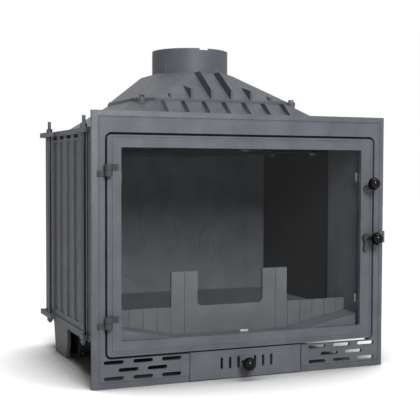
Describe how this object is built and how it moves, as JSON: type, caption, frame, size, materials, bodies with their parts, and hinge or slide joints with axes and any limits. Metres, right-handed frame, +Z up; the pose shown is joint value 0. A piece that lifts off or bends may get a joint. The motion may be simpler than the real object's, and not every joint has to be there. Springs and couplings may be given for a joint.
{
  "type": "fireplace insert",
  "caption": "Cast-iron wood-burning fireplace insert with a framed glass door, an ash drawer with an air slide, and a ribbed smoke hood with a round flue collar.",
  "frame": {"origin": "on the floor under the middle of the whole object: the middle of the facade's width, half of the overall depth from the knobs to the rear flange, and the height of the facade's lower edge and the feet", "axes": "+Z up; the door and the facade face -Y; +X is to the right of someone who looks at the door"},
  "size_m": [0.7, 0.613, 0.75],
  "materials": {
    "stove_casting": "satin grey stove paint on cast iron",
    "body_casting": "satin grey stove paint on cast iron, darker",
    "hearth_casting": "painted cast iron inside the fire chamber",
    "dark_steel": "blackened steel",
    "bright_steel": "zinc-plated steel",
    "sheet_steel": "black stove paint on sheet steel",
    "black_knob": "glossy black thermoset",
    "ceramic_glass": "clear ceramic glass",
    "rope_seal": "braided glass-fibre rope and tape"
  },
  "bodies": {
    "insert_body": {"facade_frame": "stove_casting", "firebox_front": "body_casting", "side_panel_left": "body_casting", "side_panel_right": "body_casting", "back_panel": "body_casting", "hearth_base": "body_casting", "lower_hood": "stove_casting", "upper_hood": "stove_casting", "flue_collar": "stove_casting", "hood_bolts": "dark_steel", "tie_rods": "dark_steel", "tie_rod_nuts": "dark_steel", "rear_foot_left": "body_casting", "rear_foot_right": "body_casting", "foot_bolts": "dark_steel", "fireback": "hearth_casting", "log_guard": "hearth_casting", "fire_grate": "hearth_casting", "smoke_baffle": "hearth_casting", "ash_box": "sheet_steel", "hinge_bracket_lower": "stove_casting", "hinge_bracket_upper": "stove_casting", "hinge_pins": "dark_steel", "hinge_washers": "dark_steel", "hinge_frame_screws": "bright_steel", "latch_keeper": "stove_casting"},
    "door": {"door_frame": "stove_casting", "door_glass": "ceramic_glass", "glass_gasket": "rope_seal", "glass_clips": "bright_steel", "clip_screws": "bright_steel", "door_gasket": "rope_seal", "hinge_leaf_lower": "stove_casting", "hinge_leaf_upper": "stove_casting", "hinge_leaf_screws": "bright_steel", "door_pull_stem": "dark_steel", "door_pull_knob": "black_knob", "latch_pivot": "dark_steel"},
    "latch": {"latch_lever": "stove_casting", "latch_knob": "black_knob"},
    "ash_drawer": {"ash_drawer_front": "stove_casting", "ash_pan": "sheet_steel", "pan_screws": "bright_steel", "register_guides": "sheet_steel"},
    "air_slide": {"air_register": "sheet_steel", "register_stem": "dark_steel", "register_knob": "black_knob"}
  },
  "joints": [
    {"name": "door_hinge", "type": "hinge", "parent": "insert_body", "child": "door", "pos_m": [-0.318, -0.2655, 0.3], "axis": [0, 0, -1], "range_deg": [0, 110]},
    {"name": "latch_pivot", "type": "hinge", "parent": "door", "child": "latch", "pos_m": [0.3015, -0.2565, 0.3], "axis": [0, -1, 0], "range_deg": [0, 70]},
    {"name": "drawer_slide", "type": "slide", "parent": "insert_body", "child": "ash_drawer", "axis": [0, -1, 0], "range_m": [0, 0.29]},
    {"name": "register_slide", "type": "slide", "parent": "ash_drawer", "child": "air_slide", "axis": [1, 0, 0], "range_m": [-0.003, 0.007]}
  ]
}
